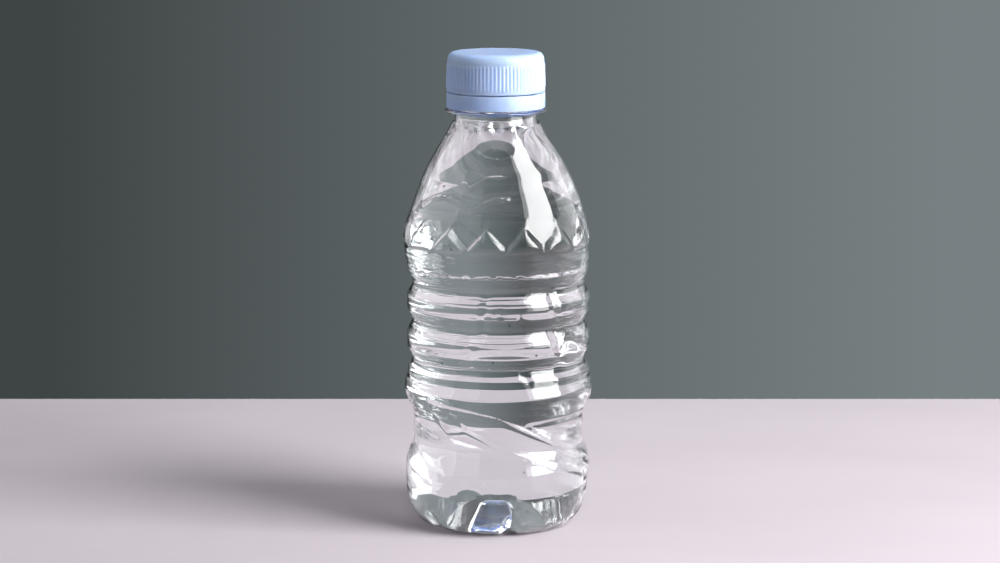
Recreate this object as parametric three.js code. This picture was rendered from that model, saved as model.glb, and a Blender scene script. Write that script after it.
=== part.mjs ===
// A small clear water bottle, full of still water and closed by a screw cap. Its thin wall is dented
// and creased round the ribbed middle, and the neck has been pushed a little to one side.
// Millimetres. The bottle stands on z = 0 with +Z up through it, and -Y is its front.
import * as THREE from "three";

// Bottle body: outer radii and the heights they belong to
const BODY_RADIUS = 28.4;
const HEEL_TOP = 12.5;
const FOOT_OUTER_RADIUS = 20.9;
const FOOT_INNER_RADIUS = 19.2;
const PUSH_UP = { height: 9.5, fullness: 1.2 };
const WALL = 0.4;

// Six narrow channels part the feet; one stands ten degrees right of the front
const FEET = 6;
const CHANNEL = { angle: 10, halfWidth: 9, depth: 1.7, height: 9, lift: 2.6 };

// Mould relief of the body: what stands proud of it or cuts into it
const LOWER_SWELL = { height: 19, half: 8, rise: 0.3 };
const WAIST = { low: 24.9, lowEase: 2.9, high: 37.5, highEase: 3, depth: 2 };
const FLUTES = { count: 6, rise: 0.35, turnPerMm: 7 };
const LOAD_RIB = { height: 43.2, half: 5, rise: 0.9 };
const GROOVE_HALF = 4.2;
const GROOVES = [
  { height: 52.4, depth: 1.55 },
  { height: 64.4, depth: 1.5 },
  { height: 76.1, depth: 1.75 },
];
const RIB_CREST = 5.8;
const COLLAR = { low: 77.6, high: 81.7, ease: 0.9, depth: 0.4 };
const BELT = { low: 81.9, middle: 90.5, rise: 0.27, lowerFall: 350, upperFall: 35 };

// Shoulder, from the belt to the foot of the neck, as one curve
const SHOULDER_FOOT = new THREE.Vector2(26.7, 98.8);
const SHOULDER_PULL = new THREE.Vector2(23, 112.6);
const NECK_FOOT = new THREE.Vector2(12.9, 125);

// Neck finish for a 28 mm screw cap
const NECK_RADIUS = 12.5;
const NECK_BORE_RADIUS = 10.9;
const RING = { radius: 15.7, bottom: 128.7, top: 130 };
const LOCK_BEAD = { radius: 13.6, bottom: 132.9, top: 134.2 };
const MOUTH_HEIGHT = 145.6;

// Cap and its tamper band, which are moulded together and slit apart all round
const CAP_TOP = 147.3;
const CAP_PANEL = 1.4;
const CAP_RADIUS = 15.15;
const CAP_BORE_RADIUS = 13.95;
const CAP_EDGE_ROUND = 2.3;
const GRIP = { ridges: 80, low: 136.2, high: 144.2, rise: 0.16 };
const PLUG = { outer: 10.45, inner: 9.4, depth: 2.7 };
const SLIT = { bottom: 134.85, top: 135.25 };
const BAND = { bottom: 130.3, radius: 15.2, bore: 13.95, lipBore: 13, lipTop: 131.8 };
const NIBS = { count: 12, height: 0.15 };

// Water inside, kept clear of the wall
const WATER_TOP = 138;
const WATER_GAP = 0.3;

// What handling did to it. Angles are in degrees from the front towards +X.
const DENTS = [
  { angle: -6, height: 71.7, halfAngle: 6, halfHeight: 3.2, depth: 0.8 },
  { angle: 37, height: 71.8, halfAngle: 6, halfHeight: 3.2, depth: 0.8 },
  { angle: -18, height: 59.2, halfAngle: 6, halfHeight: 4, depth: 0.7 },
  { angle: 45, height: 59.4, halfAngle: 9, halfHeight: 4.5, depth: 1.5 },
  { angle: 18, height: 50.1, halfAngle: 6, halfHeight: 2.5, depth: 0.6 },
];
const SWAY = [
  { height: 0, x: -0.6 },
  { height: 12, x: -0.6 },
  { height: 30, x: 0 },
  { height: 75, x: 0 },
  { height: 90, x: -0.7 },
  { height: 102, x: -0.3 },
  { height: 125, x: -0.8 },
];
const NECK_X = SWAY.at(-1).x;

const WALL_SIDES = 36;
const CAP_SIDES = 2 * GRIP.ridges;
const BAND_SIDES = 48;

const smoothstep = THREE.MathUtils.smoothstep;
const degrees = THREE.MathUtils.degToRad;

// A ridge that is 1 at the centre and falls smoothly to 0 at its edge.
function swell(place, centre, half) {
  const away = Math.min(1, Math.abs(place - centre) / half);
  return Math.cos((Math.PI / 2) * away) ** 2;
}

// 1 between low and high, easing to 0 outside them.
function between(place, low, high, lowEase, highEase) {
  const risen = smoothstep(place, low - lowEase, low + lowEase);
  return risen * (1 - smoothstep(place, high - highEase, high + highEase));
}

// The shortest way round from one angle to another, in degrees.
function turnBetween(angle, other) {
  return THREE.MathUtils.euclideanModulo(angle - other + 180, 360) - 180;
}

// Outer radius of the round bottle between the heel and the belt's top.
function wallRadius(height) {
  if (height < HEEL_TOP) {
    const fall = (HEEL_TOP - height) / HEEL_TOP;
    return FOOT_OUTER_RADIUS + (BODY_RADIUS - FOOT_OUTER_RADIUS) * Math.sqrt(Math.max(0, 1 - fall ** 2));
  }
  if (height > BELT.low) {
    const fall = height < BELT.middle ? BELT.lowerFall : BELT.upperFall;
    return BODY_RADIUS + BELT.rise - (height - BELT.middle) ** 2 / fall;
  }
  const waist = between(height, WAIST.low, WAIST.high, WAIST.lowEase, WAIST.highEase);
  let radius = BODY_RADIUS - WAIST.depth * waist;
  radius += LOWER_SWELL.rise * swell(height, LOWER_SWELL.height, LOWER_SWELL.half);
  radius += LOAD_RIB.rise * swell(height, LOAD_RIB.height, LOAD_RIB.half);
  radius -= COLLAR.depth * between(height, COLLAR.low, COLLAR.high, COLLAR.ease, COLLAR.ease);
  for (const groove of GROOVES) radius -= groove.depth * swell(height, groove.height, GROOVE_HALF);
  return radius;
}

// Sideways push of the bottle's axis at a height.
function swayAt(height) {
  const above = SWAY.findIndex((stop) => stop.height > height);
  if (above < 0) return NECK_X;
  if (above === 0) return SWAY[0].x;
  const low = SWAY[above - 1];
  const high = SWAY[above];
  return THREE.MathUtils.lerp(low.x, high.x, smoothstep(height, low.height, high.height));
}

// How far the wall stands in or out of round at an angle and height.
function reliefAt(angle, height) {
  const waist = between(height, WAIST.low, WAIST.high, WAIST.lowEase, WAIST.highEase);
  let out = FLUTES.rise * waist * Math.cos(degrees(FLUTES.count * angle + FLUTES.turnPerMm * height));
  for (const dent of DENTS) {
    const across = turnBetween(angle, dent.angle) / dent.halfAngle;
    const along = (height - dent.height) / dent.halfHeight;
    out -= dent.depth * Math.exp(-(across ** 2) - along ** 2);
  }
  return out;
}

// 1 along the middle of a channel between two feet, 0 beyond its width. A channel keeps its width, so
// it spans a wider angle near the middle of the base.
function channelAt(angle, radius) {
  const spacing = 360 / FEET;
  const away = Math.abs(turnBetween(angle, CHANNEL.angle)) % spacing;
  const nearest = Math.min(away, spacing - away);
  return swell(nearest * (radius / FOOT_OUTER_RADIUS), 0, CHANNEL.halfWidth);
}

// How far a point of the outer face moves when the round bottle takes its real shape: channels
// between the feet, relief, dents and sway. x goes outwards, y upwards and z sideways along X.
function shiftOf(outer, angle) {
  const onWall = smoothstep(outer.x, FOOT_OUTER_RADIUS, FOOT_OUTER_RADIUS + 2);
  const below = 1 - smoothstep(outer.y, CHANNEL.height / 2, CHANNEL.height);
  const channel = channelAt(angle, outer.x) * below;
  const out = outer.y < NECK_FOOT.y ? onWall * (reliefAt(angle, outer.y) - CHANNEL.depth * channel) : 0;
  const up = CHANNEL.lift * channel * swell(outer.x, FOOT_OUTER_RADIUS - 1, 9);
  return new THREE.Vector3(out, up, swayAt(outer.y));
}

// A profile of radius and height turned about +Z. One of its columns lies along a channel.
function turned(profile, sides) {
  return new THREE.LatheGeometry(profile, sides, degrees(CHANNEL.angle)).rotateX(Math.PI / 2);
}

// Turns a list of rows into the bottle's real shape. Each row says where it lies and which point of the
// outer face it follows, so the inside of the wall and the water keep their distance from the outside.
function shaped(rows) {
  const geometry = turned(rows.map((row) => row.at), WALL_SIDES);
  const position = geometry.getAttribute("position");
  for (let i = 0; i < position.count; i += 1) {
    const x = position.getX(i);
    const y = position.getY(i);
    const { at, follows } = rows[i % rows.length];
    const shift = shiftOf(follows, THREE.MathUtils.radToDeg(Math.atan2(x, -y)));
    const stretch = at.x > 0 ? (at.x + shift.x) / at.x : 1;
    position.setXYZ(i, x * stretch + shift.z, y * stretch, at.y + shift.y);
  }
  geometry.computeVertexNormals();
  return geometry;
}

function heightsBetween(low, high, steps) {
  return Array.from({ length: steps + 1 }, (_, i) => THREE.MathUtils.lerp(low, high, i / steps));
}

// Heights of the rows of the wall, close together where it turns sharply.
function wallHeights() {
  const heelTurn = [1, 2, 3, 4, 5, 6].map((step) => (Math.PI / 2) * (step / 6));
  const rows = heelTurn.map((turn) => HEEL_TOP * (1 - Math.cos(turn)));
  rows.push(LOWER_SWELL.height);
  rows.push(...heightsBetween(WAIST.low - WAIST.lowEase, WAIST.low + WAIST.lowEase, 3));
  rows.push((WAIST.low + WAIST.high) / 2);
  rows.push(...heightsBetween(WAIST.high - WAIST.highEase, WAIST.high + WAIST.highEase, 3));
  rows.push(LOAD_RIB.height, LOAD_RIB.height + LOAD_RIB.half / 2);
  for (const groove of GROOVES) {
    rows.push(...heightsBetween(groove.height - GROOVE_HALF, groove.height + GROOVE_HALF, 4));
    if (groove.height + RIB_CREST < BELT.low) rows.push(groove.height + RIB_CREST);
  }
  rows.push(...heightsBetween(BELT.low + COLLAR.ease, SHOULDER_FOOT.y, 5).slice(0, -1));
  return rows;
}

// The outer face of the round bottle, from the middle of the base to the foot of the neck.
function outerFace() {
  const shoulder = new THREE.QuadraticBezierCurve(SHOULDER_FOOT, SHOULDER_PULL, NECK_FOOT);
  const floor = [0, 0.2, 0.4, 0.6, 0.8, 1].map((part) => {
    const fallen = swell(part ** PUSH_UP.fullness, 0, 1);
    return new THREE.Vector2(part * FOOT_INNER_RADIUS, PUSH_UP.height * fallen);
  });
  return [
    ...floor,
    new THREE.Vector2(FOOT_OUTER_RADIUS, 0),
    ...wallHeights().map((height) => new THREE.Vector2(wallRadius(height), height)),
    ...shoulder.getPoints(6),
  ];
}

// The same face set into the bottle by a distance, short of the neck, where the wall thickens.
function setIn(face, distance) {
  const rows = face.map((point, i) => {
    const along = new THREE.Vector2().subVectors(face[i + 1] ?? point, face[i - 1] ?? point).normalize();
    const inward = i === 0 ? new THREE.Vector2(0, 1) : new THREE.Vector2(-along.y, along.x);
    return { at: inward.multiplyScalar(distance).add(point), follows: point };
  });
  return rows.filter((row) => row.follows.y < NECK_FOOT.y - 5);
}

// Rows of the neck, which only moves sideways.
function straight(...points) {
  return points.map(([radius, height]) => {
    const at = new THREE.Vector2(radius, height);
    return { at, follows: new THREE.Vector2(0, Math.max(height, NECK_FOOT.y)) };
  });
}

function bottle() {
  const face = outerFace();
  const neckOutside = straight(
    [NECK_FOOT.x, RING.bottom],
    [RING.radius, RING.bottom + 0.3],
    [RING.radius, RING.top - 0.4],
    [NECK_RADIUS, RING.top],
    [NECK_RADIUS, LOCK_BEAD.bottom],
    [LOCK_BEAD.radius, LOCK_BEAD.bottom + 0.3],
    [NECK_RADIUS, LOCK_BEAD.top],
    [NECK_RADIUS, MOUTH_HEIGHT - 0.4],
    [NECK_RADIUS - 0.4, MOUTH_HEIGHT],
  );
  const neckInside = straight(
    [NECK_BORE_RADIUS + 0.4, MOUTH_HEIGHT],
    [NECK_BORE_RADIUS, MOUTH_HEIGHT - 0.4],
    [NECK_BORE_RADIUS, NECK_FOOT.y],
  );
  const outside = face.map((point) => ({ at: point, follows: point }));
  const rows = [...outside, ...neckOutside, ...neckInside, ...setIn(face, WALL).reverse()];
  const mesh = new THREE.Mesh(
    shaped(rows),
    new THREE.MeshStandardMaterial({ color: "#dfe3e6", roughness: 0.08, metalness: 0 }),
  );
  mesh.name = "bottle";
  return mesh;
}

// The water's rows run from the top down, as those of the wall's inside do, so both split their faces
// along the same lines. Reversing the index turns the faces outwards again.
function water() {
  const bore = NECK_BORE_RADIUS - WATER_GAP;
  const rows = [
    ...straight([0, WATER_TOP], [bore, WATER_TOP], [bore, NECK_FOOT.y]),
    ...setIn(outerFace(), WALL + WATER_GAP).reverse(),
  ];
  const geometry = shaped(rows);
  geometry.index.array.reverse();
  geometry.computeVertexNormals();
  const mesh = new THREE.Mesh(
    geometry,
    new THREE.MeshStandardMaterial({ color: "#c9d6dc", roughness: 0.02, metalness: 0 }),
  );
  mesh.name = "water";
  return mesh;
}

// Pushes every second column of the cap's grip out, which makes its ridges.
function ridge(geometry) {
  const position = geometry.getAttribute("position");
  const columnRows = position.count / (CAP_SIDES + 1);
  for (let i = 0; i < position.count; i += 1) {
    const column = Math.floor(i / columnRows);
    const radius = Math.hypot(position.getX(i), position.getY(i));
    const height = position.getZ(i);
    const onGrip = height >= GRIP.low && height <= GRIP.high && radius > CAP_BORE_RADIUS + 0.5;
    if (onGrip && column % 2 === 0) {
      const stretch = (radius + GRIP.rise) / radius;
      position.setXY(i, position.getX(i) * stretch, position.getY(i) * stretch);
    }
  }
  geometry.computeVertexNormals();
  return geometry;
}

function cap(plastic) {
  const ceiling = CAP_TOP - CAP_PANEL;
  const edge = new THREE.Path();
  edge.moveTo(CAP_RADIUS - 0.15, CAP_TOP - CAP_EDGE_ROUND);
  edge.quadraticCurveTo(CAP_RADIUS - 0.4, CAP_TOP, CAP_RADIUS - CAP_EDGE_ROUND, CAP_TOP);
  const profile = [
    new THREE.Vector2(0, ceiling),
    new THREE.Vector2(PLUG.inner, ceiling),
    new THREE.Vector2(PLUG.inner, ceiling - PLUG.depth),
    new THREE.Vector2(PLUG.outer, ceiling - PLUG.depth),
    new THREE.Vector2(PLUG.outer, ceiling),
    new THREE.Vector2(CAP_BORE_RADIUS, ceiling),
    new THREE.Vector2(CAP_BORE_RADIUS, SLIT.top),
    new THREE.Vector2(CAP_RADIUS, SLIT.top),
    new THREE.Vector2(CAP_RADIUS, GRIP.low - 0.3),
    new THREE.Vector2(CAP_RADIUS - 0.05, GRIP.low),
    new THREE.Vector2(CAP_RADIUS - 0.15, GRIP.high),
    ...edge.getPoints(3),
    new THREE.Vector2(0, CAP_TOP),
  ];
  const mesh = new THREE.Mesh(ridge(turned(profile, CAP_SIDES)), plastic);
  mesh.name = "cap";
  return mesh;
}

// Lifts one column in every few of the band's top edge into the nibs that join it to a new cap.
function raiseNibs(geometry) {
  const position = geometry.getAttribute("position");
  const columnRows = position.count / (BAND_SIDES + 1);
  const every = BAND_SIDES / NIBS.count;
  for (let i = 0; i < position.count; i += 1) {
    const column = Math.floor(i / columnRows);
    const onTop = position.getZ(i) > SLIT.bottom - 0.05;
    if (onTop && column % every === 0) position.setZ(i, position.getZ(i) + NIBS.height);
  }
  geometry.computeVertexNormals();
  return geometry;
}

function tamperBand(plastic) {
  const profile = [
    new THREE.Vector2(BAND.lipBore, BAND.bottom),
    new THREE.Vector2(BAND.radius, BAND.bottom),
    new THREE.Vector2(BAND.radius, SLIT.bottom),
    new THREE.Vector2(BAND.bore, SLIT.bottom),
    new THREE.Vector2(BAND.bore, BAND.lipTop + 0.6),
    new THREE.Vector2(BAND.lipBore, BAND.lipTop),
    new THREE.Vector2(BAND.lipBore, BAND.bottom),
  ];
  const mesh = new THREE.Mesh(raiseNibs(turned(profile, BAND_SIDES)), plastic);
  mesh.name = "tamper_band";
  return mesh;
}

const capPlastic = new THREE.MeshStandardMaterial({ color: "#b4cbee", roughness: 0.4, metalness: 0 });
const closure = new THREE.Group();
closure.position.x = NECK_X;
closure.add(cap(capPlastic), tamperBand(capPlastic));

const object = new THREE.Group();
object.add(bottle(), water(), closure);

export default object;
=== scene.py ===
import math
import bpy
import numpy as np
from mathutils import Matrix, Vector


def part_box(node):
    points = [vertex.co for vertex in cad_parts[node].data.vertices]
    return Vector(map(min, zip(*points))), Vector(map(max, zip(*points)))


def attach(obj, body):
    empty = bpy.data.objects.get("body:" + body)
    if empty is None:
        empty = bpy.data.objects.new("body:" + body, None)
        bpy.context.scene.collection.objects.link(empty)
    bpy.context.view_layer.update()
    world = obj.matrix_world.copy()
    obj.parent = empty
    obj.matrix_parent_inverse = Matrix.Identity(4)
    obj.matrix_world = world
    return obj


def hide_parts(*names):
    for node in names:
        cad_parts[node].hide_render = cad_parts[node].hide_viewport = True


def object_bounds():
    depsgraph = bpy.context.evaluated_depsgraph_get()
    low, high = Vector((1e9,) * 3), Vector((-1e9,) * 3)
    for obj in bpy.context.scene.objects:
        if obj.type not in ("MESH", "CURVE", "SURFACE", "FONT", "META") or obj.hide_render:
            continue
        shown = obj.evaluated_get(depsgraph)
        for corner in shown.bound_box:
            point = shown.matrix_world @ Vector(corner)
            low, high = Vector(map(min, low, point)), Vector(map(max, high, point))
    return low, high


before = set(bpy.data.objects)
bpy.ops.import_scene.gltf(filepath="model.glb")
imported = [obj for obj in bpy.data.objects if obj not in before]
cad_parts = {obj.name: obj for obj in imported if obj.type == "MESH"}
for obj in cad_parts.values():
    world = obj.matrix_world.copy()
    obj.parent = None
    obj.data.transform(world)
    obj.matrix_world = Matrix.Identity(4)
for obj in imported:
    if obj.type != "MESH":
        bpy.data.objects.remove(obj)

cad_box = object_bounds()

# ---------------------------------------------------------------------------------------------
# The setting: a pale tabletop in a dark, even room. A tall soft window light stands on the right,
# with a narrow strip in front of it and a dim side wall behind it. Weak fills on the left, in front
# and on the ceiling open up the shadows.
# ---------------------------------------------------------------------------------------------
scene = bpy.context.scene
scene.view_settings.view_transform = "Standard"
LIGHT_BOUNCES = 24
scene.cycles.max_bounces = LIGHT_BOUNCES
scene.cycles.transmission_bounces = LIGHT_BOUNCES
scene.cycles.glossy_bounces = LIGHT_BOUNCES // 2

CAMERA_SIDE = 0.0005
CAMERA_AWAY = 0.900
CAMERA_HEIGHT = 0.230
CAMERA_DOWN = 9.73
CAMERA_LENS = 105.6
SENSOR_WIDTH = 36
camera_data = bpy.data.cameras.new("camera")
camera_data.sensor_width = SENSOR_WIDTH
camera_data.lens = CAMERA_LENS
camera = bpy.data.objects.new("camera", camera_data)
camera.location = (CAMERA_SIDE, -CAMERA_AWAY, CAMERA_HEIGHT)
camera.rotation_euler = (math.radians(90 - CAMERA_DOWN), 0, 0)
scene.collection.objects.link(camera)
scene.camera = camera

ROOM_DARK_SIDE = (0.050, 0.060, 0.060, 1)
ROOM_WINDOW_SIDE = (0.186, 0.216, 0.224, 1)
ROOM_CHANGE = 0.15
room = bpy.data.worlds.new("dark_room")
room.use_nodes = True
nodes = room.node_tree.nodes
links = room.node_tree.links
direction = nodes.new("ShaderNodeTexCoord")
parts = nodes.new("ShaderNodeSeparateXYZ")
towards_window = nodes.new("ShaderNodeMapRange")
towards_window.inputs["From Min"].default_value = -ROOM_CHANGE
towards_window.inputs["From Max"].default_value = ROOM_CHANGE
wall_colour = nodes.new("ShaderNodeMix")
wall_colour.data_type = "RGBA"
wall_colour.inputs["A"].default_value = ROOM_DARK_SIDE
wall_colour.inputs["B"].default_value = ROOM_WINDOW_SIDE
links.new(direction.outputs["Generated"], parts.inputs["Vector"])
links.new(parts.outputs["X"], towards_window.inputs["Value"])
links.new(towards_window.outputs["Result"], wall_colour.inputs["Factor"])
links.new(wall_colour.outputs["Result"], nodes["Background"].inputs["Color"])
scene.world = room


def soft_light(name, turn, rise, away, width, height, power):
    """A soft light that faces the bottle. turn runs from the camera's side towards +X."""
    data = bpy.data.lights.new(name, "AREA")
    data.shape = "RECTANGLE"
    data.size = width
    data.size_y = height
    data.energy = power
    light = bpy.data.objects.new(name, data)
    around = math.radians(turn)
    light.location = (away * math.sin(around), -away * math.cos(around), rise)
    light.rotation_euler = (math.radians(90), 0, around)
    light.visible_camera = False
    scene.collection.objects.link(light)
    return light


soft_light("window", turn=62.3, rise=0.58, away=0.70, width=0.468, height=1.08, power=28.5)
soft_light("window_side", turn=40.4, rise=0.58, away=0.70, width=0.082, height=1.08, power=0.8)
soft_light("side_wall", turn=112, rise=0.45, away=0.80, width=0.50, height=0.90, power=1.8)
soft_light("fill", turn=-95, rise=0.60, away=1.20, width=1.80, height=1.20, power=7.5)
soft_light("front_fill", turn=-42, rise=0.60, away=1.20, width=0.80, height=1.00, power=1.3)
ceiling = soft_light("ceiling", turn=0, rise=1.30, away=0, width=1.30, height=1.30, power=4.5)
ceiling.rotation_euler = (0, 0, 0)

TABLE_BACK = 0.182
TABLE_FRONT = -0.45
TABLE_HALF_WIDTH = 0.60
TABLE_THICKNESS = 0.02
TABLE_EDGE = 0.002
TABLE_DARK = (0.34, 0.30, 0.332)
TABLE_LIGHT = (0.41, 0.366, 0.40)
bpy.ops.mesh.primitive_cube_add(size=1)
table = bpy.context.object
table.name = "table"
table.dimensions = (2 * TABLE_HALF_WIDTH, TABLE_BACK - TABLE_FRONT, TABLE_THICKNESS)
table.location = (0, (TABLE_BACK + TABLE_FRONT) / 2, cad_box[0][2] - TABLE_THICKNESS / 2)
bpy.ops.object.transform_apply(location=True, rotation=False, scale=True)
edge = table.modifiers.new("rounded_edge", "BEVEL")
edge.width = TABLE_EDGE
edge.segments = 3


def new_material(name):
    """A material with nodes, and its shader."""
    material = bpy.data.materials.new(name)
    material.use_nodes = True
    return material, material.node_tree.nodes["Principled BSDF"]


def colour_by(material, mask, first, second):
    """Colours a material by a mask that runs from the first colour to the second."""
    nodes = material.node_tree.nodes
    links = material.node_tree.links
    blend = nodes.new("ShaderNodeMix")
    blend.data_type = "RGBA"
    blend.inputs["A"].default_value = (*first, 1)
    blend.inputs["B"].default_value = (*second, 1)
    links.new(mask, blend.inputs["Factor"])
    links.new(blend.outputs["Result"], nodes["Principled BSDF"].inputs["Base Color"])


table_paint, shader = new_material("pale_table")
shader.inputs["Roughness"].default_value = 0.85
mottle = table_paint.node_tree.nodes.new("ShaderNodeTexNoise")
mottle.inputs["Scale"].default_value = 9
mottle.inputs["Detail"].default_value = 5
colour_by(table_paint, mottle.outputs["Fac"], TABLE_DARK, TABLE_LIGHT)
table.data.materials.append(table_paint)

# ---------------------------------------------------------------------------------------------
# The bottle: one thin blown wall of clear PET, from the hollow base up to the rim of the neck. Its
# ribs, belt of facets and slanting ridges come from the mould; the folds come from handling. Only
# the neck is thick, from its support ring upwards, because that part is never blown out.
# ---------------------------------------------------------------------------------------------
MM = 0.001
cap_low, cap_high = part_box("cap")
NECK_X = (cap_low[0] + cap_high[0]) / 2 / MM
MOUTH_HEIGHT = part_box("bottle")[1][2] / MM

BODY_RADIUS = 28.4
HEEL_TOP = 12.5
FOOT_OUTER_RADIUS = 20.9
FOOT_INNER_RADIUS = 19.2
PUSH_UP_HEIGHT = 8.8
PUSH_UP_TOP_RADIUS = 4.0
PUSH_UP_SLOPE = 0.9
PUSH_UP_SIDES = 6
PUSH_UP_TURN = -5
FEET = 6
CHANNEL_TURN = 10
CHANNEL_HALF_WIDTH = 9
CHANNEL_DEPTH = 1.2
CHANNEL_RISE = 1.6
WAIST = {"low": 23.2, "low_ease": 4.7, "high": 37.5, "high_ease": 3.0, "depth": 2.0}
BELT_LOW = 81.9
BELT_MIDDLE = 90.5
BELT_RISE = 0.27
BELT_FALL_BELOW = 350
BELT_FALL_ABOVE = 35
SHOULDER = [(26.7, 98.8), (23.0, 112.6), (12.9, 125.0)]
NECK_FOOT = SHOULDER[-1][1]
NECK_BEAD = {"height": 125.3, "half": 0.7, "rise": 0.3}
NECK_RADIUS = 12.5
BORE_RADIUS = 10.9
WALL = 0.35


def ease(place, low, high):
    """Runs smoothly from 0 at the low end to 1 at the high end."""
    part = np.clip((place - low) / (high - low), 0, 1)
    return part * part * (3 - 2 * part)


def swell(place, centre, half):
    """A rounded bump: 1 at its centre, and 0 at half its width away and beyond."""
    return np.cos(np.pi / 2 * np.minimum(1, np.abs(place - centre) / half)) ** 2


def between(place, low, high, low_ease, high_ease):
    """1 from low to high and 0 elsewhere, with each end eased."""
    risen = ease(place, low - low_ease, low + low_ease)
    return risen * (1 - ease(place, high - high_ease, high + high_ease))


def turn_between(angle, other):
    """The angle measured from another one, the short way round."""
    return (angle - other + 180) % 360 - 180


# Swellings of the lower body and the lowest rib, the line round that rib, and the three grooves
# between the ribs: height of the middle, half height, rise.
WALL_SWELLS = ((19, 8, 0.3), (43.2, 5, 0.9), (47.4, 0.9, -0.25),
               (52.4, 4.0, -1.6), (64.4, 4.0, -1.55), (76.1, 4.0, -1.8))
UNDER_BELT = {"low": 77.6, "low_ease": 0.9, "high": 81.7, "high_ease": 0.5, "depth": 0.4}


def sunk(height, band):
    """Depth of a band that runs round the wall."""
    return band["depth"] * between(height, band["low"], band["high"],
                                   band["low_ease"], band["high_ease"])


def wall_radius(height):
    """Outer radius of the round bottle from the heel to the top of the belt."""
    radius = BODY_RADIUS - sunk(height, WAIST) - sunk(height, UNDER_BELT)
    for middle, half, rise in WALL_SWELLS:
        radius += rise * swell(height, middle, half)
    belt_fall = np.where(height < BELT_MIDDLE, BELT_FALL_BELOW, BELT_FALL_ABOVE)
    belt = BODY_RADIUS + BELT_RISE - (height - BELT_MIDDLE) ** 2 / belt_fall
    return np.where(height > BELT_LOW, belt, radius)


# Height, and how far the bottle's axis stands to the right there.
SWAY = ((0, -0.6), (12, -0.6), (30, 0), (75, 0), (90, -0.7), (102, -0.3), (NECK_FOOT, NECK_X))


def sway_at(height):
    """Sideways push of the bottle's axis: the body leans, and the belt bulges to the left."""
    total = np.full_like(height, SWAY[0][1], dtype=float)
    for (low, before), (high, after) in zip(SWAY, SWAY[1:]):
        total += (after - before) * ease(height, low, high)
    return total


def feet_channels(angle, radius, height):
    """The narrow channels that part the six feet of the base, and die away up the heel."""
    pitch = 360 / FEET
    away = np.abs(turn_between(angle, CHANNEL_TURN)) % pitch
    nearest = np.minimum(away, pitch - away) * radius / FOOT_OUTER_RADIUS
    return swell(nearest, 0, CHANNEL_HALF_WIDTH) * (1 - ease(height, 3, 8))


def front_share(angle):
    """The pattern is full on the front and the sides, and nearly dies away at the back."""
    return 0.1 + 0.9 * ease(np.cos(np.radians(angle)), -0.05, 0.50)


# Height and angle of each line's crown, and the angles where the line starts and ends.
CONTOUR_LINES = ((111.3, 1, -24, 8), (104.9, 4, -64, 10))
CONTOUR_RISE = 0.85
CONTOUR_HALF_WIDTH = 0.8
CONTOUR_SAG = 3.6


def contour_lines(angle, height):
    """Two fine raised lines that run round the shoulder in shallow arches."""
    lines = 0
    for crown_height, crown_angle, first, last in CONTOUR_LINES:
        arch = np.abs(np.cos(np.radians(4 * (angle - crown_angle))))
        away = np.abs(height - crown_height + CONTOUR_SAG * (1 - arch))
        shown = ease(angle, first - 5, first) * (1 - ease(angle, last - 5, last + 1))
        lines = lines + CONTOUR_RISE * shown * np.maximum(0, 1 - away / CONTOUR_HALF_WIDTH)
    return lines


# Height, half width, rise, and how much of the crinkle each raised ring takes.
RAISED_RINGS = ((85.6, 0.6, 0.12, 0), (80.8, 0.8, 0.24, 1),
                (83.9, 0.6, 0.07, -1), (82.6, 0.6, 0.07, 1))
SUNK_RINGS = (12.3, 47.4, 50.4, 54.6, 62.2, 66.6, 74.2, 78.4)
SUNK_RING_DEPTH = 0.13
SUNK_RING_HALF_WIDTH = 0.7
PARTING_RISE = 0.15


def mould_lines(angle, height):
    """Thin lines right round the wall, crinkled under the belt, and the short upright line at the
    top of the shoulder where the halves of the mould part."""
    crinkle = 0.12 * np.sin(np.radians(angle * 31)) + 0.09 * np.sin(np.radians(angle * 53 + 40))
    rings = 0
    for ring_height, half_width, rise, crinkled in RAISED_RINGS:
        rings = rings + rise * swell(height, ring_height + crinkled * crinkle, half_width)
    for ring_height in SUNK_RINGS:
        rings = rings - SUNK_RING_DEPTH * swell(height, ring_height, SUNK_RING_HALF_WIDTH)
    parting = swell(angle, -1, 1) * between(height, 118, 124, 1, 0.5)
    return rings + PARTING_RISE * parting


FACETS = 15
FACET_TURN = -6
FACET_PEAK = 97.4
FACET_FOOT = 88.2
FACET_FOOT_SLANT = 0.06
FACET_RIGHT = {"run": 7.4, "fall": 8.2, "bevel": 2.1}
FACET_LEFT = {"run": 7.9, "fall": 9.4, "bevel": 1.4}
FACET_RISE = 1.25
FROSTING_RISE = 0.07
WAVE_TOP = 98.6
WAVE_FALL = 6.2
WAVE_RISE = 0.26
BELT_SINK = 0.40


def inside_edge(edge, side, height):
    """Distance inside a facet's edge that runs down from its peak, for a side measured that way."""
    length = math.hypot(edge["run"], edge["fall"])
    return ((FACET_PEAK - height) * edge["run"] - side * edge["fall"]) / length


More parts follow.
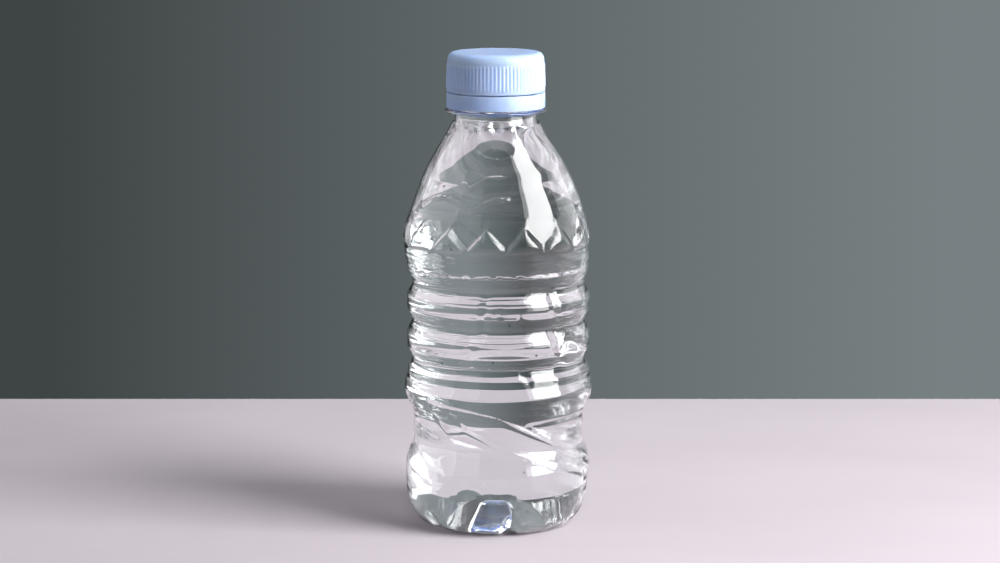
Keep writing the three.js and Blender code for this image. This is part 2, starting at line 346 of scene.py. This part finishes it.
def facet_belt(angle, height):
    """A belt of raised pointed facets with bevelled sides, under a line of long low waves. The
    right bevel of each facet is frosted."""
    pitch = 360 / FACETS
    per_degree = math.radians(BODY_RADIUS)
    raised = 0
    for neighbour in (-1, 0, 1):
        turn = (angle - FACET_TURN + pitch / 2) % pitch - pitch / 2 + neighbour * pitch
        side = turn * per_degree
        right = inside_edge(FACET_RIGHT, side, height)
        left = inside_edge(FACET_LEFT, -side, height)
        foot = height - FACET_FOOT - FACET_FOOT_SLANT * side
        ripple = FROSTING_RISE * np.sin(3.4 * side + 3.9 * height)
        frosting = ripple * (right < FACET_RIGHT["bevel"])
        inside = np.minimum(right / FACET_RIGHT["bevel"],
                            np.minimum(left, foot) / FACET_LEFT["bevel"])
        raised = np.maximum(raised, np.clip(inside, 0, 1) + frosting * (inside > 0))
    along = ((angle - FACET_TURN - 1) / pitch) % 1
    wave = WAVE_TOP - WAVE_FALL * along + WAVE_FALL * ease(along, 0.86, 1.0)
    under = np.clip((wave - height) / 0.6, 0, 1) * ease(height, 82, 87)
    return (FACET_RISE * raised + WAVE_RISE * under - BELT_SINK) * front_share(angle)


def near_line(angle, height, points):
    """Distance from a line of straight runs that is drawn on the wall by angle and height."""
    per_degree = math.radians(BODY_RADIUS)
    across = angle * per_degree
    nearest = np.full(np.broadcast(angle, height).shape, 1e3)
    for start, end in zip(points, points[1:]):
        run = (end[0] - start[0]) * per_degree
        rise = end[1] - start[1]
        beside = across - start[0] * per_degree
        above = height - start[1]
        along = np.clip((beside * run + above * rise) / (run * run + rise * rise), 0, 1)
        nearest = np.minimum(nearest, np.hypot(beside - along * run, above - along * rise))
    return nearest


# Each ridge's line by angle and height, and its half width.
RIDGES = [
    ([(-47, 41.3), (-33, 40.3), (-19, 39.4), (-6, 38.2), (1, 37.0), (14, 34.2), (32, 30.2),
      (60, 24.4), (84, 19.4)], 1.15),
    ([(76, 36.3), (60, 36.2), (32, 35.6), (20, 35.0), (32, 31.7), (46, 27.6)], 1.0),
    ([(-46, 39.4), (-33, 39.2), (-22, 33.4), (-36, 32.4), (-46, 36.6)], 0.95),
    ([(-24, 33.8), (-11, 31.2), (1, 28.2), (13, 25.9), (34, 22.8), (51, 20.0), (74, 16.5)], 1.05),
    ([(-77, 38.7), (-50, 36.2)], 0.8),
    ([(-66, 31.5), (-45, 29.6)], 0.8),
]
RIDGE_SETS = ((-120, 0.12), (0, 0.5), (120, 0.12))


def slanting_ridges(angle, height):
    """Narrow ridges that sweep down to the right across the waist. The set stands three times round
    it, and only the front one came out of the mould deep."""
    relief = 0
    for repeat, strength in RIDGE_SETS:
        for points, half_width in RIDGES:
            away = near_line(turn_between(angle, repeat), height, points)
            relief = np.maximum(relief, strength * half_width * (1 - ease(away, 0.15, half_width)))
    return relief


def fold(angle, height, start, end, half_width, depth):
    """A crease along a straight line, given by angle and height at each end: V-shaped, and sharp
    along its bottom."""
    away = near_line(turn_between(angle, start[0]) + start[0], height, [start, end])
    return -depth * np.maximum(0, 1 - away / half_width)


# Where each fold starts and ends, its half width and its depth.
FOLDS = [
    ((-7.6, 74.2), (-9.5, 66.0), 2.2, 0.45),
    ((36.4, 74.6), (38.5, 68.0), 2.4, 0.50),
    ((1.0, 71.2), (1.6, 69.4), 1.2, 0.15),
    ((14.0, 68.3), (17.0, 67.3), 1.2, 0.15),
    ((-18.9, 62.9), (-16.9, 55.9), 2.4, 0.40),
    ((38.8, 64.5), (43.8, 55.2), 3.4, 0.80),
    ((43.8, 60.8), (66.0, 59.0), 2.8, 0.70),
    ((42.0, 63.1), (62.0, 57.8), 2.0, 0.40),
    ((43.0, 57.2), (60.0, 61.9), 2.0, 0.40),
    ((15.2, 51.3), (19.6, 49.3), 1.6, 0.30),
]


# Rise, waves in a turn, twist with height, and start.
WALL_WAVES = ((0.03, 3, 0.11, 0.7), (0.015, 5, -0.17, 2.1), (0.01, 8, 0.29, 4.4))


def unevenness(angle, height):
    """The slow waviness of a thin blown wall."""
    turn = np.radians(angle)
    waves = 0
    for rise, count, twist, start in WALL_WAVES:
        waves = waves + rise * np.sin(count * turn + twist * height + start)
    return waves


def push_up(radius):
    """Height of the raised middle of the base: a flat top, and straight sides down to the feet."""
    fall = PUSH_UP_SLOPE * (radius - PUSH_UP_TOP_RADIUS)
    return PUSH_UP_HEIGHT - np.clip(fall, 0, PUSH_UP_HEIGHT)


def six_sided(radius, angle):
    """How much higher the push-up is than a round one, because its sides are flat."""
    pitch = 360 / PUSH_UP_SIDES
    from_middle = np.radians((angle - PUSH_UP_TURN + pitch / 2) % pitch - pitch / 2)
    gain = push_up(radius * np.cos(from_middle)) - push_up(radius)
    return gain * (radius < FOOT_INNER_RADIUS)


def wall_shift(radius, height, angle):
    """How far a point of the outer face moves outwards and upwards from the round bottle."""
    on_wall = ease(radius, FOOT_OUTER_RADIUS, FOOT_OUTER_RADIUS + 2)
    channel = feet_channels(angle, radius, height)
    out = slanting_ridges(angle, height) + contour_lines(angle, height) + mould_lines(angle, height)
    out = out + facet_belt(angle, height) * (height > BELT_LOW) + unevenness(angle, height)
    for start, end, half_width, depth in FOLDS:
        out = out + fold(angle, height, start, end, half_width, depth)
    out = on_wall * (out - CHANNEL_DEPTH * channel) * (height < NECK_FOOT)
    out = out + NECK_BEAD["rise"] * swell(height, NECK_BEAD["height"], NECK_BEAD["half"])
    up = CHANNEL_RISE * channel * swell(radius, FOOT_OUTER_RADIUS - 1, CHANNEL_HALF_WIDTH)
    return out, up + six_sided(radius, angle)


def bezier(points, steps):
    """Points of a curve from the first point to the last, pulled towards the one between them."""
    start, pull, end = (np.array(point) for point in points)
    steps = steps[:, None]
    return (1 - steps) ** 2 * start + 2 * steps * (1 - steps) * pull + steps ** 2 * end


FLOOR_ROWS = 19
HEEL_ROWS = 14
# Rows of the wall from one height to the next: closest where the relief is finest.
WALL_ROWS = ((HEEL_TOP, 23, 16), (23, 43, 38), (43, 79, 50), (79, 82, 8), (82, SHOULDER[0][1], 34))
SHOULDER_STEPS = np.r_[0:0.5:0.0125, 0.5:1:15j]


def outer_face():
    """Radius and height of the round bottle's outer face, from under the base up to the neck."""
    parts = np.linspace(0, 1, FLOOR_ROWS)
    floor = np.stack([parts * FOOT_INNER_RADIUS, push_up(parts * FOOT_INNER_RADIUS)], 1)
    turns = np.linspace(0, np.pi / 2, HEEL_ROWS)
    heel = np.stack([FOOT_OUTER_RADIUS + (BODY_RADIUS - FOOT_OUTER_RADIUS) * np.sin(turns),
                     HEEL_TOP * (1 - np.cos(turns))], 1)
    heights = [np.linspace(low, high, rows + 1)[1:] for low, high, rows in WALL_ROWS]
    heights = np.concatenate(heights)[:-1]
    wall = np.stack([wall_radius(heights), heights], 1)
    return np.concatenate([floor, heel, wall, bezier(SHOULDER, SHOULDER_STEPS)])


def set_in(face, thickness):
    """The face moved square to itself into the bottle by a thickness."""
    along = np.gradient(face, axis=0)
    along /= np.linalg.norm(along, axis=1)[:, None]
    inward = np.stack([-along[:, 1], along[:, 0]], 1)
    inward[0] = (0, 1)
    moved = face + inward * thickness
    moved[0, 0] = 0
    return moved


def column_angles(count, crowding):
    """Angles of the columns in degrees from the front, closer together at the front."""
    steps = np.arange(count) / count * 2 * np.pi - np.pi
    return np.degrees(steps - crowding * np.sin(steps))


def turned_grid(rows, angles, follows=None):
    """Points of a turned piece, one row for each radius and height. With follows, each row takes
    the shift of the outer face's point that it follows."""
    rows = np.asarray(rows, float)
    angle = angles[None, :]
    radius = np.repeat(rows[:, :1], len(angles), 1)
    height = np.repeat(rows[:, 1:], len(angles), 1)
    side = np.full_like(radius, NECK_X)
    if follows is not None:
        outer_radius = np.repeat(follows[:, :1], len(angles), 1)
        outer_height = np.repeat(follows[:, 1:], len(angles), 1)
        out, up = wall_shift(outer_radius, outer_height, angle)
        radius = np.where(radius > 0, radius + out, 0)
        height = height + up
        side = sway_at(outer_height)
    turn = np.radians(angle)
    return np.stack([radius * np.sin(turn) + side, -radius * np.cos(turn), height], 2)


def closed_mesh(name, grid, ring=False, sharp=50):
    """A closed mesh from rows of points, which start and end on the axis, or meet as a ring."""
    count = grid.shape[1]
    after = np.roll(np.arange(count), -1)
    body = grid if ring else grid[1:-1]
    index = np.arange(body.shape[0] * count).reshape(-1, count)
    lower = index if ring else index[:-1]
    upper = np.roll(index, -1, 0) if ring else index[1:]
    quads = np.stack([lower, lower[:, after], upper[:, after], upper], 2).reshape(-1, 4)
    points = body.reshape(-1, 3)
    faces = quads.tolist()
    if not ring:
        first = len(points)
        points = np.concatenate([points, grid[0, :1], grid[-1, :1]])
        faces += [[first, b, a] for a, b in zip(index[0].tolist(), index[0][after].tolist())]
        faces += [[a, b, first + 1] for a, b in zip(index[-1].tolist(), index[-1][after].tolist())]
    mesh = bpy.data.meshes.new(name)
    mesh.from_pydata((points * MM).tolist(), [], faces)
    mesh.polygons.foreach_set("use_smooth", [True] * len(mesh.polygons))
    mesh.set_sharp_from_angle(angle=math.radians(sharp))
    piece = bpy.data.objects.new(name, mesh)
    scene.collection.objects.link(piece)
    return piece


def rounded(corners, radius, parts=3):
    """An outline with each inner corner rounded off."""
    corners = [np.array(corner, float) for corner in corners]
    line = [corners[0]]
    for before, corner, following in zip(corners, corners[1:], corners[2:]):
        reach_in = min(radius, np.linalg.norm(before - corner) / 2.1)
        reach_out = min(radius, np.linalg.norm(following - corner) / 2.1)
        enter = corner + (before - corner) / np.linalg.norm(before - corner) * reach_in
        leave = corner + (following - corner) / np.linalg.norm(following - corner) * reach_out
        line.extend(bezier([enter, corner, leave], np.linspace(0, 1, parts + 1)))
    return np.array(line + [corners[-1]])


THREAD = {"pitch": 2.7, "turns": 2.4, "top": 143.4, "rise": 1.2, "half": 1.0, "start": 40}
THREAD_ROWS = 27


def thread_rise(angle, height):
    """The right-hand thread's ridge, which runs down round the neck from its start."""
    turned = ((THREAD["start"] - angle) % 360) / 360
    rise = 0
    for lap in range(3):
        laps = turned + lap
        ridge = THREAD["top"] - THREAD["pitch"] * laps
        shown = ease(laps, 0, 0.06) * (1 - ease(laps, THREAD["turns"] - 0.06, THREAD["turns"]))
        rise = rise + THREAD["rise"] * shown * swell(height, ridge, THREAD["half"])
    return rise


def neck_follows(rows):
    """What rows of the neck follow: the wall's sideways push, and none of its relief."""
    return np.stack([np.zeros(len(rows)), np.maximum(rows[:, 1], NECK_FOOT)], 1)


face = outer_face()
inner = set_in(face, WALL)
# The inside has every second row of the outside, and the last one.
kept = np.r_[0:len(face):2, len(face) - 1]
# Support ring at 129 to 130, lock bead of the band at 133, then the plain neck with its thread.
neck_outside = np.concatenate([
    rounded([(12.9, 125.3), (12.85, 125.6), (12.8, 125.9), (12.7, 126.3), (12.6, 128.7),
             (15.7, 129.0), (15.7, 129.7), (NECK_RADIUS, 130.0), (NECK_RADIUS, 132.8),
             (13.6, 133.1), (NECK_RADIUS, 134.3), (NECK_RADIUS, 134.9)], 0.35),
    np.stack([np.full(THREAD_ROWS, NECK_RADIUS),
              np.linspace(135.2, MOUTH_HEIGHT - 0.5, THREAD_ROWS)], 1),
])
neck_inside = rounded([(NECK_RADIUS, MOUTH_HEIGHT - 0.3), (NECK_RADIUS, MOUTH_HEIGHT),
                       (BORE_RADIUS, MOUTH_HEIGHT), (BORE_RADIUS, 129.6), (12.2, 128.9),
                       (12.3, 126.0), (12.45, 125.4)], 0.4)
neck_rows = np.concatenate([neck_outside, neck_inside])
WALL_COLUMNS = 220
FRONT_CROWDING = 0.5
wall_angles = column_angles(WALL_COLUMNS, FRONT_CROWDING)
wall_grid = turned_grid(np.concatenate([face, neck_rows, inner[kept][::-1]]), wall_angles,
                        np.concatenate([face, neck_follows(neck_rows), face[kept][::-1]]))
first_thread_row = len(face) + len(neck_outside) - THREAD_ROWS
for row in range(first_thread_row, first_thread_row + THREAD_ROWS):
    turn = np.radians(wall_angles)
    rise = thread_rise(wall_angles, wall_grid[row, 0, 2])
    wall_grid[row, :, 0] += rise * np.sin(turn)
    wall_grid[row, :, 1] -= rise * np.cos(turn)
bottle = closed_mesh("bottle_wall", wall_grid, sharp=60)


def node_group(name, inputs, outputs):
    """An empty node group with named number sockets, and its input, output and place nodes."""
    group = bpy.data.node_groups.new(name, "ShaderNodeTree")
    for socket in inputs:
        group.interface.new_socket(socket, in_out="INPUT", socket_type="NodeSocketFloat")
    for socket in outputs:
        group.interface.new_socket(socket, in_out="OUTPUT", socket_type="NodeSocketFloat")
    given = group.nodes.new("NodeGroupInput")
    result = group.nodes.new("NodeGroupOutput")
    place = group.nodes.new("ShaderNodeTexCoord")
    return group, given, result, place


def handling_marks():
    """A node group: fine scuffs and faint smears that handling leaves on plastic, as a change of
    roughness and as a height for a bump."""
    group, given, result, place = node_group(
        "handling_marks", ["Scale", "Base Roughness", "Scuff Roughness"], ["Roughness", "Height"])
    nodes = group.nodes
    smears = nodes.new("ShaderNodeTexNoise")
    smears.inputs["Detail"].default_value = 6
    smears.inputs["Roughness"].default_value = 0.65
    edge = nodes.new("ShaderNodeMapRange")
    edge.inputs["From Min"].default_value = 0.52
    edge.inputs["From Max"].default_value = 0.72
    spread = nodes.new("ShaderNodeMapRange")
    group.links.new(place.outputs["Object"], smears.inputs["Vector"])
    group.links.new(given.outputs["Scale"], smears.inputs["Scale"])
    group.links.new(smears.outputs["Fac"], edge.inputs["Value"])
    group.links.new(edge.outputs["Result"], spread.inputs["Value"])
    group.links.new(given.outputs["Base Roughness"], spread.inputs["To Min"])
    group.links.new(given.outputs["Scuff Roughness"], spread.inputs["To Max"])
    group.links.new(spread.outputs["Result"], result.inputs["Roughness"])
    group.links.new(smears.outputs["Fac"], result.inputs["Height"])
    return group


def dirt_specks():
    """A node group: a few tiny specks of grit, as a mask."""
    group, given, result, place = node_group("dirt_specks", ["Scale"], ["Mask"])
    nodes = group.nodes
    grains = nodes.new("ShaderNodeTexVoronoi")
    size = nodes.new("ShaderNodeMapRange")
    size.inputs["From Min"].default_value = 0.035
    size.inputs["From Max"].default_value = 0.055
    size.inputs["To Min"].default_value = 1
    size.inputs["To Max"].default_value = 0
    group.links.new(place.outputs["Object"], grains.inputs["Vector"])
    group.links.new(given.outputs["Scale"], grains.inputs["Scale"])
    group.links.new(grains.outputs["Distance"], size.inputs["Value"])
    group.links.new(size.outputs["Result"], result.inputs["Mask"])
    return group


marks = handling_marks()


def add_marks(material, scale, base_roughness, scuff_roughness):
    """Places the handling marks in a material and joins them to its roughness."""
    nodes = material.node_tree.nodes
    node = nodes.new("ShaderNodeGroup")
    node.node_tree = marks
    node.inputs["Scale"].default_value = scale
    node.inputs["Base Roughness"].default_value = base_roughness
    node.inputs["Scuff Roughness"].default_value = scuff_roughness
    material.node_tree.links.new(node.outputs["Roughness"],
                                 nodes["Principled BSDF"].inputs["Roughness"])
    return node


def add_bump(material, height, distance, strength):
    """Joins a height to a material's normal."""
    bump = material.node_tree.nodes.new("ShaderNodeBump")
    bump.inputs["Distance"].default_value = distance
    bump.inputs["Strength"].default_value = strength
    material.node_tree.links.new(height, bump.inputs["Height"])
    material.node_tree.links.new(bump.outputs["Normal"],
                                 material.node_tree.nodes["Principled BSDF"].inputs["Normal"])


CLEAR = (0.985, 0.99, 0.995)
GRIT = (0.05, 0.045, 0.04)
clear_pet, shader = new_material("clear_pet")
shader.inputs["Transmission Weight"].default_value = 1
shader.inputs["IOR"].default_value = 1.34
grit = clear_pet.node_tree.nodes.new("ShaderNodeGroup")
grit.node_tree = dirt_specks()
grit.inputs["Scale"].default_value = 130
colour_by(clear_pet, grit.outputs["Mask"], CLEAR, GRIT)
wall_marks = add_marks(clear_pet, scale=70, base_roughness=0.0, scuff_roughness=0.03)
add_bump(clear_pet, wall_marks.outputs["Height"], distance=0.00002, strength=0.3)
bottle.data.materials.append(clear_pet)
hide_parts("bottle")
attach(bottle, "bottle_body")

# ---------------------------------------------------------------------------------------------
# The water: still, clear and filled to the neck. It has the shape of the inside of the wall, a hair
# clear of it, and ends in a level surface under the cap.
# ---------------------------------------------------------------------------------------------
WATER_GAP = 0.04
WATER_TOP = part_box("water")[1][2] / MM
water_rows = set_in(face, WALL + WATER_GAP)
bore = BORE_RADIUS - WATER_GAP
water_neck = np.array([(12.41, 125.4), (12.26, 126.0), (12.18, 128.0), (12.16, 128.9),
                       (bore, 129.6), (bore, 132.0), (bore, WATER_TOP - 0.4),
                       (bore - 0.15, WATER_TOP - 0.1), (bore - 0.5, WATER_TOP), (0, WATER_TOP)])
water_grid = turned_grid(np.concatenate([water_rows[kept], water_neck]), wall_angles,
                         np.concatenate([face[kept], neck_follows(water_neck)]))
water = closed_mesh("water_body", water_grid, sharp=80)

WATER_DEEP = (0.975, 0.99, 0.997)
WATER_CLEAR = (0.993, 0.998, 1.0)
still_water, shader = new_material("still_water")
shader.inputs["Roughness"].default_value = 0
shader.inputs["Transmission Weight"].default_value = 1
shader.inputs["IOR"].default_value = 1.333
drift = still_water.node_tree.nodes.new("ShaderNodeTexNoise")
drift.inputs["Scale"].default_value = 25
colour_by(still_water, drift.outputs["Fac"], WATER_DEEP, WATER_CLEAR)
water.data.materials.append(still_water)
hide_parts("water")
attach(water, "bottle_body")

# ---------------------------------------------------------------------------------------------
# The cap: one moulding of pale blue plastic, with fine upright grip ridges, a rounded top edge, and
# inside it the thread and the ring that plugs the bore. It screws down onto the neck.
# ---------------------------------------------------------------------------------------------
CAP_RADIUS = 15.15
CAP_BORE = 13.95
CAP_TOP = cap_high[2] / MM
CAP_FOOT = cap_low[2] / MM
CEILING = CAP_TOP - 1.4
PLUG_INNER_RADIUS = 9.4
PLUG_OUTER_RADIUS = 10.45
PLUG_DEPTH = 2.7
GRIP_RIDGES = 80
COLUMNS_PER_RIDGE = 8
GRIP_LOW = CAP_FOOT + 1.0
GRIP_HIGH = CAP_TOP - 3.2
GRIP_RISE = 0.18
NUT_LEAD = 1.3
NUT_SHARE = 0.9


def fine_line(start, end, parts):
    """Evenly spaced points of a straight line."""
    steps = np.linspace(0, 1, parts + 1)[:, None]
    return np.array(start) * (1 - steps) + np.array(end) * steps


cap_outline = np.concatenate([
    rounded([(0, CEILING), (PLUG_INNER_RADIUS, CEILING), (PLUG_INNER_RADIUS, CEILING - PLUG_DEPTH),
             (PLUG_OUTER_RADIUS, CEILING - PLUG_DEPTH), (PLUG_OUTER_RADIUS, CEILING),
             (CAP_BORE, CEILING), (CAP_BORE, CEILING - 0.6)], 0.3, 2),
    fine_line((CAP_BORE, CEILING - 0.9), (CAP_BORE, CAP_FOOT + 0.6), 22),
    rounded([(CAP_BORE, CAP_FOOT + 0.3), (CAP_BORE, CAP_FOOT), (CAP_RADIUS, CAP_FOOT),
             (CAP_RADIUS, CAP_FOOT + 0.6)], 0.15, 2),
    fine_line((CAP_RADIUS, GRIP_LOW - 0.2), (CAP_RADIUS - 0.2, GRIP_HIGH + 0.3), 22),
    bezier([(CAP_RADIUS - 0.22, CAP_TOP - 2.5), (CAP_RADIUS - 0.45, CAP_TOP),
            (CAP_RADIUS - 2.6, CAP_TOP)], np.linspace(0, 1, 10)),
    fine_line((CAP_RADIUS - 3.2, CAP_TOP), (0.9, CAP_TOP), 8),
    [(0.7, CAP_TOP), (0.6, CAP_TOP + 0.12), (0, CAP_TOP + 0.15)],
])
cap_columns = GRIP_RIDGES * COLUMNS_PER_RIDGE
cap_angles = np.arange(cap_columns) / cap_columns * 360
cap_grid = turned_grid(cap_outline, cap_angles)
cap_turn = np.radians(cap_angles)[None, :]
cap_radius = cap_outline[:, :1]
cap_height = cap_outline[:, 1:]
outside = cap_radius > CAP_BORE + 0.5
ridge_shape = 0.5 + 0.5 * np.cos(np.radians(cap_angles * GRIP_RIDGES))[None, :]
ridge_reach = ease(cap_height, GRIP_LOW, GRIP_LOW + 0.5)
ridge_reach = ridge_reach * (1 - ease(cap_height, GRIP_HIGH - 0.4, GRIP_HIGH))
ridges = GRIP_RISE * outside * ridge_reach * ridge_shape ** 0.7
threaded = (cap_height < CEILING - 1) & (cap_height > CAP_FOOT + 0.8)
inner_wall = (np.abs(cap_radius - CAP_BORE) < 0.05) & threaded
nut = -NUT_SHARE * inner_wall * thread_rise(cap_angles[None, :], cap_height + NUT_LEAD)
cap_grid[:, :, 0] += (ridges + nut) * np.sin(cap_turn)
cap_grid[:, :, 1] -= (ridges + nut) * np.cos(cap_turn)
cap = closed_mesh("screw_cap", cap_grid, sharp=45)

BLUE_DEEP = (0.245, 0.325, 0.575)
BLUE_PALE = (0.285, 0.37, 0.62)
cap_plastic, shader = new_material("pale_blue_plastic")
shader.inputs["IOR"].default_value = 1.42
shader.inputs["Subsurface Weight"].default_value = 1
shader.inputs["Subsurface Radius"].default_value = (0.7, 0.9, 1.3)
shader.inputs["Subsurface Scale"].default_value = 0.006
cloud = cap_plastic.node_tree.nodes.new("ShaderNodeTexNoise")
cloud.inputs["Scale"].default_value = 120
cloud.inputs["Detail"].default_value = 4
colour_by(cap_plastic, cloud.outputs["Fac"], BLUE_DEEP, BLUE_PALE)
cap_marks = add_marks(cap_plastic, scale=180, base_roughness=0.40, scuff_roughness=0.56)
add_bump(cap_plastic, cap_marks.outputs["Height"], distance=0.00004, strength=0.5)
cap.data.materials.append(cap_plastic)
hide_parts("cap")
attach(cap, "cap_body")

# ---------------------------------------------------------------------------------------------
# The tamper band: the ring below the slit, moulded from the same plastic as the cap and joined to a
# new one by small nibs. A lip inside it catches under the neck's bead and holds it there.
# ---------------------------------------------------------------------------------------------
BAND_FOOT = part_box("tamper_band")[0][2] / MM
BAND_TOP = BAND_FOOT + 4.55
BAND_RADIUS = 15.2
LIP_RADIUS = 13.0
NIBS = 12
NIB_RISE = 0.2
COLUMNS_PER_NIB = 40
band_outline = rounded([(13.4, BAND_FOOT), (BAND_RADIUS, BAND_FOOT), (BAND_RADIUS, BAND_TOP),
                        (CAP_BORE, BAND_TOP), (CAP_BORE, BAND_FOOT + 2.1),
                        (LIP_RADIUS, BAND_FOOT + 1.5), (LIP_RADIUS, BAND_FOOT),
                        (13.3, BAND_FOOT)], 0.2)
band_columns = NIBS * COLUMNS_PER_NIB
band_angles = np.arange(band_columns) / band_columns * 360
band_grid = turned_grid(band_outline, band_angles)
from_nib = np.abs((band_angles * NIBS / 360 + 0.5) % 1 - 0.5) * 360 / NIBS
nibs = NIB_RISE * (1 - ease(from_nib, 0.9, 1.6))[None, :]
on_top = ease(band_outline[:, 1:], BAND_TOP - 0.12, BAND_TOP)
band_grid[:, :, 2] += nibs * on_top * (band_outline[:, :1] > BAND_RADIUS - 0.7)
band = closed_mesh("tamper_ring", band_grid, ring=True, sharp=45)
band.data.materials.append(cap_plastic)
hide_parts("tamper_band")
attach(band, "band_body")
